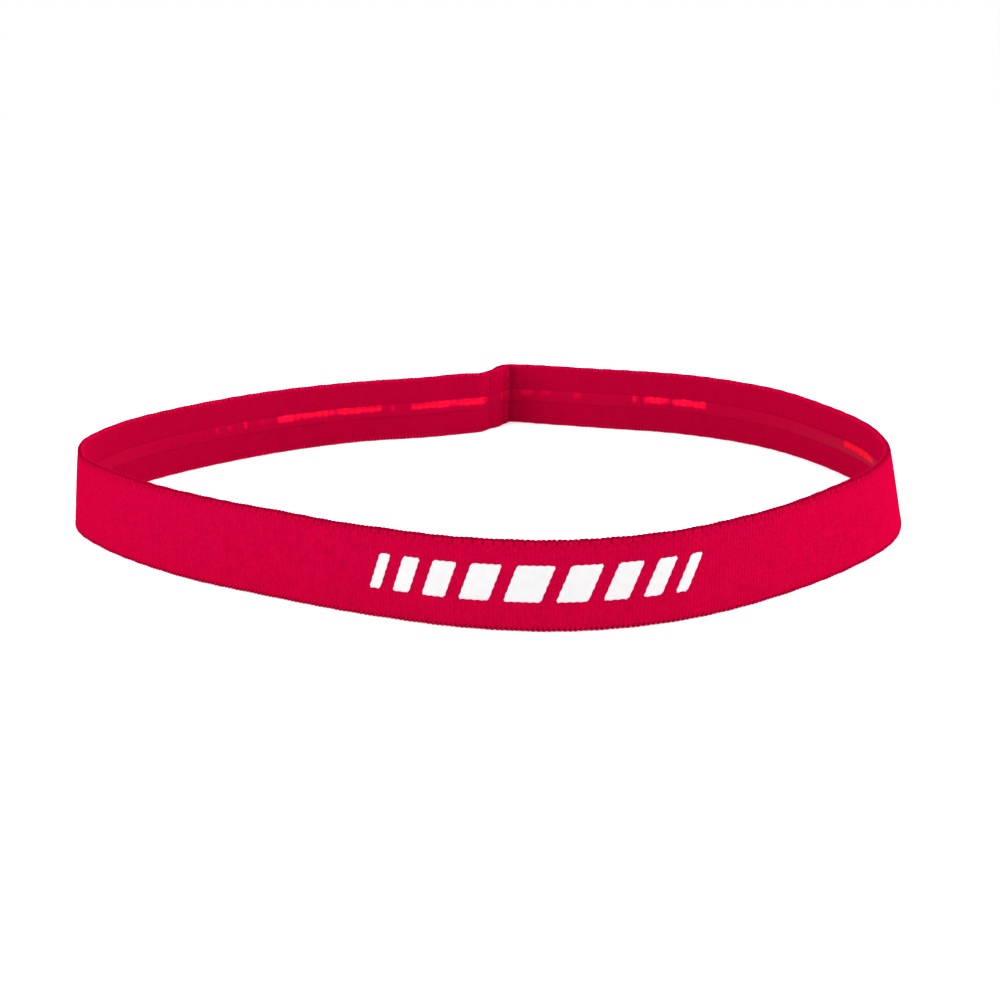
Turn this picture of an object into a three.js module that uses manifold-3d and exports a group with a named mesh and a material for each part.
// Slim elastic sports headband, standing on its lower edge at rest.
// Millimetres, +Z up, +X along the loop's longest side, -Y is the front.
//
// The soft pieces are made flat, as they are cut: x runs along the strap from its inner end,
// y points in towards the head, z runs up across the width. They are then wrapped round the loop.
// The strap's two ends lap at the back: the inner end lies nearer the head, the outer end behind it.

import * as THREE from 'three';
import { mergeVertices } from 'three/addons/utils/BufferGeometryUtils.js';
import Module from 'manifold-3d';

// ---------- driving sizes ----------

const LOOP_WIDTH = 171; // along X, on the strap's middle line
const LOOP_DEPTH = 137; // along Y, on the strap's middle line
const STRAP_WIDTH = 16;
const STRAP_THICKNESS = 1.3;

const LAP_LENGTH = 9; // how far the two ends overlap
const LAP_ANGLE = 48; // degrees from +X: the stiff lap stands skew to the soft loop
const LAP_LEAN = 5; // degrees that the lap's top leans in towards the head
const LAP_RUN_OUT = 1.5; // straight strap past the lap on the inner layer
const LAP_RUN_IN = 0.5; // straight strap past the lap on the outer layer

const GRIP_WIDTH = 3.4;
const GRIP_HEIGHT = 0.4; // stands this far out of the inner face

const THREAD_DIAMETER = 0.24;
const STITCH_PITCH = 2.2;
const STITCH_EDGE_MARGIN = 1.2; // least distance from a hole's middle to the strap's edge
const STITCH_TAIL = 0.4; // thread left lying on the strap past the last hole
const ROW_INSET = 1.6; // from a stitch row to the nearest cut end

const PRINT_BARS = [2, 3, 4, 5, 6, 5, 4, 3, 2]; // widths of the printed bars along the strap
const PRINT_BAR_GAP = 2.4;
const PRINT_HEIGHT = 6.4;
const PRINT_THICKNESS = 0.12;
const PRINT_SLANT = 22; // degrees from upright
const PRINT_SHIFT = 6; // from the place half-way round the loop to the print's middle
const PRINT_CENTRE_Z = 8.7; // height of its middle above the strap's lower edge

// ---------- clearances ----------

const BOND_GAP = 0.05; // between the strap and the silicone bonded on it
const LAYER_GAP = 0.05; // between the inner layer and the silicone trapped in the lap
const PRINT_GAP = 0.1; // between the strap and the film
const THREAD_GAP = 0.06; // round the threads

// ---------- fineness ----------

const STRAP_STEP = 2.42; // mean step along the strap
const STRAP_ROWS = 4; // across its width, so that a changing lean stays smooth
const END_CROWDING = 0.7; // 0 spaces the steps evenly, towards 1 crowds them at the ends
const GRIP_SIDES = 4; // on the bead's domed top
const THREAD_SIDES = 6;
const HOLE_SIDES = 10;
const PRINT_STEP = 1; // longest facet of the film along the strap

// The relaxed loop: points on the strap's middle line and the strap's lean there, in degrees,
// positive where its top leans in. Points are in millimetres on a loop of SHAPE_WIDTH by SHAPE_DEPTH.
// They run from the lap round the left side, the front and the right side, back to the lap.
const SHAPE_WIDTH = 171;
const SHAPE_DEPTH = 137;
const LAP_POINT = [5.6, 64];
const LOOP_POINTS = [
  [-4, 58, 0], [-12, 56.3, 2], [-31, 54.3, 3.5], [-54, 45, 1.5], [-77, 26.5, 4], // back left
  [-85, 10, 7], [-83, -5.5, 10], [-73, -19.5, 11.5], // left side
  [-54, -36.3, 9.5], [-37, -47, 5], [-18, -57.5, 0], [0, -65, -3], // front left
  [16, -68, -4], [32, -66.3, -3.5], [48, -59.8, -1], [69, -45, 5], // front right
  [81, -31, 10], [86, -12, 13], [82.5, 10, 13], [71, 33, 10], // right side
  [53, 49, 7], [34, 58, 4.5], [18, 65.3, 2.5], [11.5, 68.4, 4], // back right
];

// ---------- materials ----------

const fabricRed = new THREE.MeshStandardMaterial({ color: 0xc8003c, roughness: 0.9, metalness: 0 });
const siliconeRed = new THREE.MeshStandardMaterial({ color: 0xd8083f, roughness: 0.3, metalness: 0 });
const threadRed = new THREE.MeshStandardMaterial({ color: 0xb00034, roughness: 0.7, metalness: 0 });
const filmWhite = new THREE.MeshStandardMaterial({ color: 0xf4f4f2, roughness: 0.5, metalness: 0 });

// ---------- the strap's middle line ----------

const LAP_SPACING = STRAP_THICKNESS + BOND_GAP + GRIP_HEIGHT + LAYER_GAP; // between the two layers
const lapAngle = THREE.MathUtils.degToRad(LAP_ANGLE);
const lapAlong = new THREE.Vector3(Math.cos(lapAngle), Math.sin(lapAngle), 0);
const lapOutward = new THREE.Vector3(-lapAlong.y, lapAlong.x, 0);
const widthScale = LOOP_WIDTH / SHAPE_WIDTH;
const depthScale = LOOP_DEPTH / SHAPE_DEPTH;
const lapCentre = new THREE.Vector3(LAP_POINT[0] * widthScale, LAP_POINT[1] * depthScale, 0);

// A point of the lap: `along` from its middle, `outward` from the inner layer's middle line.
function lapPoint(along, outward) {
  return lapCentre.clone().addScaledVector(lapAlong, along).addScaledVector(lapOutward, outward);
}

const half = LAP_LENGTH / 2;
const innerEnd = [half, 0, -half, -half - LAP_RUN_OUT].map((along) => lapPoint(along, 0));
const outerEnd = [half + LAP_RUN_IN, half, 0, -half].map((along) => lapPoint(along, LAP_SPACING));
const bends = LOOP_POINTS.map(([x, y]) => new THREE.Vector3(x * widthScale, y * depthScale, 0));
const leans = [
  ...innerEnd.map(() => LAP_LEAN),
  ...LOOP_POINTS.map((point) => point[2]),
  ...outerEnd.map(() => LAP_LEAN),
];

const middleLine = new THREE.CatmullRomCurve3([...innerEnd, ...bends, ...outerEnd], false, 'centripetal');
middleLine.arcLengthDivisions = 2000;
const STRAP_LENGTH = middleLine.getLength();
const STRAP_STEPS = Math.ceil(STRAP_LENGTH / STRAP_STEP);

// The strap's lean in radians at the curve's own parameter: eased from one point to the next.
function leanAt(parameter) {
  const place = parameter * (leans.length - 1);
  const index = Math.min(Math.floor(place), leans.length - 2);
  const ease = THREE.MathUtils.smoothstep(place - index, 0, 1);
  return THREE.MathUtils.degToRad(THREE.MathUtils.lerp(leans[index], leans[index + 1], ease));
}

// Wraps a flat piece round the loop. Each section leans by a shear, so both edges stay level.
function wrap(geometry) {
  const position = geometry.attributes.position;
  for (let i = 0; i < position.count; i += 1) {
    const share = THREE.MathUtils.clamp(position.getX(i) / STRAP_LENGTH, 0, 1);
    const parameter = middleLine.getUtoTmapping(share);
    const point = middleLine.getPoint(parameter);
    const tangent = middleLine.getTangent(parameter);
    const lean = leanAt(parameter);
    const inward = position.getY(i) + position.getZ(i) * Math.sin(lean);
    const up = position.getZ(i) * Math.cos(lean);
    position.setXYZ(i, point.x - tangent.y * inward, point.y + tangent.x * inward, up);
  }
  return geometry;
}

// Distance along the strap of a step's edge, with short steps near the ends where the bends are tight.
function crowded(share) {
  return STRAP_LENGTH * (share - (END_CROWDING * Math.sin(2 * Math.PI * share)) / (2 * Math.PI));
}

// Moves the even steps of a piece that is one unit long to their places along the whole strap.
function spreadAlong(geometry) {
  const position = geometry.attributes.position;
  for (let i = 0; i < position.count; i += 1) position.setX(i, crowded(position.getX(i)));
  return geometry;
}

// ---------- cutting ----------

const wasm = await Module();
wasm.setup();

function toSolid(geometry) {
  const bare = geometry.clone();
  bare.deleteAttribute('normal');
  bare.deleteAttribute('uv');
  const merged = mergeVertices(bare, 1e-4);
  return new wasm.Manifold(new wasm.Mesh({
    numProp: 3,
    vertProperties: new Float32Array(merged.attributes.position.array),
    triVerts: new Uint32Array(merged.index.array),
  }));
}

function toGeometry(solid) {
  const mesh = solid.getMesh();
  const geometry = new THREE.BufferGeometry();
  geometry.setAttribute('position', new THREE.BufferAttribute(mesh.vertProperties, 3));
  geometry.setIndex(new THREE.BufferAttribute(mesh.triVerts, 1));
  geometry.computeVertexNormals();
  return geometry;
}

function cut(geometry, cutters) {
  return toGeometry(cutters.reduce((solid, cutter) => solid.subtract(cutter), toSolid(geometry)));
}

// ---------- the sewn lap ----------

// The lap's own frame: x along the lap, y outward, z up across the width, leaning with the lap.
const lapFrame = new THREE.Group();
lapFrame.matrix.makeBasis(lapAlong, lapOutward, new THREE.Vector3(0, 0, 1));
lapFrame.matrix.setPosition(lapCentre);
lapFrame.matrix.multiply(new THREE.Matrix4().makeRotationX(THREE.MathUtils.degToRad(LAP_LEAN)));
lapFrame.matrix.decompose(lapFrame.position, lapFrame.quaternion, lapFrame.scale);

const stitchesPerSide = Math.floor((STRAP_WIDTH / 2 - STITCH_EDGE_MARGIN) / STITCH_PITCH);
const holeHeights = Array.from(
  { length: 2 * stitchesPerSide + 1 },
  (_, i) => STRAP_WIDTH / 2 + (i - stitchesPerSide) * STITCH_PITCH,
);
const rowPlaces = [-half + ROW_INSET, half - ROW_INSET];

const loopOffset = THREAD_DIAMETER + THREAD_GAP; // from a hole's axis to each leg of a thread's loop
const holeRadius = loopOffset + THREAD_DIAMETER / 2 + THREAD_GAP;
const innerFace = -STRAP_THICKNESS / 2;
const gripFace = innerFace - BOND_GAP - GRIP_HEIGHT;
const outerFace = LAP_SPACING + STRAP_THICKNESS / 2;
const seamDepth = outerFace - gripFace;
const seamMiddle = (outerFace + innerFace) / 2;
const threadClear = THREAD_GAP + THREAD_DIAMETER / 2; // from a face to the middle of a thread on it

function needleHole(along, height) {
  const hole = new THREE.CylinderGeometry(holeRadius, holeRadius, 2 * seamDepth, HOLE_SIDES);
  hole.translate(along, (outerFace + gripFace) / 2, height);
  return toSolid(hole.applyMatrix4(lapFrame.matrix));
}

const needleHoles = rowPlaces.flatMap((along) => holeHeights.map((height) => needleHole(along, height)));

// A thread's turns at a hole are points [across, outward, rise] from the hole's middle: first on the
// face, then over the rim and a quarter of the way round its loop. The way out mirrors the way in.
const rimTurn = Math.SQRT1_2 * threadClear;
const quarterLoop = [[1, 1], [Math.SQRT1_2, 1 - Math.SQRT1_2], [0, 0]]; // [sideways, back from its end]

function throughHole(wayIn, wayOut = wayIn) {
  const mirrored = wayOut.slice(0, -1).reverse().map(([across, outward, rise]) => [-across, outward, -rise]);
  return [...wayIn, ...mirrored];
}

// The needle thread lies along the outer layer. Its loop stands in the row's plane and dips to just
// past the seam's middle.
function needleTurns() {
  const loopEnd = seamMiddle - loopOffset / 2;
  return throughHole([
    [0, outerFace + threadClear, -holeRadius - THREAD_GAP],
    [0, outerFace + rimTurn, -holeRadius + rimTurn],
    [0, outerFace - rimTurn, -loopOffset],
    ...quarterLoop.map(([side, back]) => [0, loopEnd + back * loopOffset, -side * loopOffset]),
  ]);
}

// The face that a bobbin thread meets at a hole: the silicone stands proud of the webbing.
function innerFaceAt(index) {
  const height = holeHeights[THREE.MathUtils.clamp(index, 0, holeHeights.length - 1)];
  const reach = GRIP_WIDTH / 2 + holeRadius + THREAD_DIAMETER;
  return Math.abs(height - STRAP_WIDTH / 2) < reach ? gripFace : innerFace;
}

// The bobbin thread lies along the inner layer. Its loop stands across the row and passes through
// the needle thread's loop. Between two holes it clears the prouder of their faces.
function bobbinTurns(index) {
  const face = innerFaceAt(index);
  const loopEnd = seamMiddle + loopOffset / 2;
  const rim = Math.sqrt(holeRadius ** 2 - loopOffset ** 2); // the hole's edge beside the thread
  const way = (neighbour) => [
    [-loopOffset, Math.min(face, neighbour) - threadClear, -rim - rimTurn - 2 * THREAD_GAP],
    [-loopOffset, face - rimTurn, -rim + rimTurn],
    [-loopOffset, face + rimTurn, -rimTurn],
    ...quarterLoop.map(([side, back]) => [-side * loopOffset, loopEnd - back * loopOffset, 0]),
  ];
  return throughHole(way(innerFaceAt(index - 1)), way(innerFaceAt(index + 1)));
}

// A thread through every hole of the row at `along`, with a short tail at each end.
function threadRoute(along, turnsAt) {
  const points = holeHeights.flatMap((height, index) => turnsAt(index).map(
    ([across, outward, rise]) => new THREE.Vector3(along + across, outward, height + rise),
  ));
  const tail = new THREE.Vector3(0, 0, STITCH_TAIL);
  return [points[0].clone().sub(tail), ...points, points[points.length - 1].clone().add(tail)];
}

// A round thread with one section at each point of its route.
function threadGeometry(route) {
  const section = new THREE.Shape();
  section.absarc(0, 0, THREAD_DIAMETER / 2, 0, 2 * Math.PI, false);
  const path = new THREE.CatmullRomCurve3(route, false, 'centripetal');
  path.getUtoTmapping = (share) => share; // steps fall on the route's points, not at equal distances
  return new THREE.ExtrudeGeometry(section, {
    extrudePath: path, steps: route.length - 1, curveSegments: THREAD_SIDES / 2,
  });
}

// ---------- pieces ----------

function strapGeometry() {
  const flat = new THREE.BoxGeometry(1, STRAP_THICKNESS, STRAP_WIDTH, STRAP_STEPS, 1, STRAP_ROWS);
  flat.translate(0.5, 0, STRAP_WIDTH / 2);
  return cut(wrap(spreadAlong(flat)), needleHoles);
}

// The silicone bead: flat where it is bonded, domed towards the head.
function gripGeometry() {
  const bondFace = STRAP_THICKNESS / 2 + BOND_GAP;
  const section = new THREE.Shape();
  section.absellipse(bondFace, STRAP_WIDTH / 2, GRIP_HEIGHT, GRIP_WIDTH / 2, -Math.PI / 2, Math.PI / 2);
  const flat = new THREE.ExtrudeGeometry(section, {
    depth: 1, steps: STRAP_STEPS, bevelEnabled: false, curveSegments: GRIP_SIDES / 2,
  });
  const alongX = new THREE.Matrix4().set(0, 0, 1, 0, 1, 0, 0, 0, 0, 1, 0, 0, 0, 0, 0, 1);
  return cut(wrap(spreadAlong(flat.applyMatrix4(alongX))), needleHoles);
}

// One slanted bar of film, `place` along the strap from its inner end to the bar's middle.
function printBarGeometry(width, place) {
  const facets = Math.ceil(width / PRINT_STEP);
  const slant = Math.tan(THREE.MathUtils.degToRad(PRINT_SLANT));
  const bar = new THREE.BoxGeometry(width, PRINT_THICKNESS, PRINT_HEIGHT, facets, 1, 1);
  bar.applyMatrix4(new THREE.Matrix4().makeShear(0, 0, 0, 0, slant, 0));
  bar.translate(place, -(STRAP_THICKNESS + PRINT_THICKNESS) / 2 - PRINT_GAP, PRINT_CENTRE_Z);
  return wrap(bar);
}

function addMesh(parent, name, geometry, material) {
  const mesh = new THREE.Mesh(geometry, material);
  mesh.name = name;
  parent.add(mesh);
}

const headband = new THREE.Group();
addMesh(headband, 'webbing_strap', strapGeometry(), fabricRed);
addMesh(headband, 'grip_strip', gripGeometry(), siliconeRed);

headband.add(lapFrame);
rowPlaces.forEach((along, i) => {
  addMesh(lapFrame, `needle_thread_${i + 1}`, threadGeometry(threadRoute(along, needleTurns)), threadRed);
  addMesh(lapFrame, `bobbin_thread_${i + 1}`, threadGeometry(threadRoute(along, bobbinTurns)), threadRed);
});

const printLength = PRINT_BARS.reduce((sum, width) => sum + width + PRINT_BAR_GAP, -PRINT_BAR_GAP);
let barStart = STRAP_LENGTH / 2 + PRINT_SHIFT - printLength / 2;
PRINT_BARS.forEach((width, i) => {
  addMesh(headband, `print_bar_${i + 1}`, printBarGeometry(width, barStart + width / 2), filmWhite);
  barStart += width + PRINT_BAR_GAP;
});

// The origin is the middle of the headband's box, on the surface that its lower edge stands on.
const box = new THREE.Box3().setFromObject(headband, true);
const middle = box.getCenter(new THREE.Vector3());
headband.position.set(-middle.x, -middle.y, -box.min.z);

export default headband;
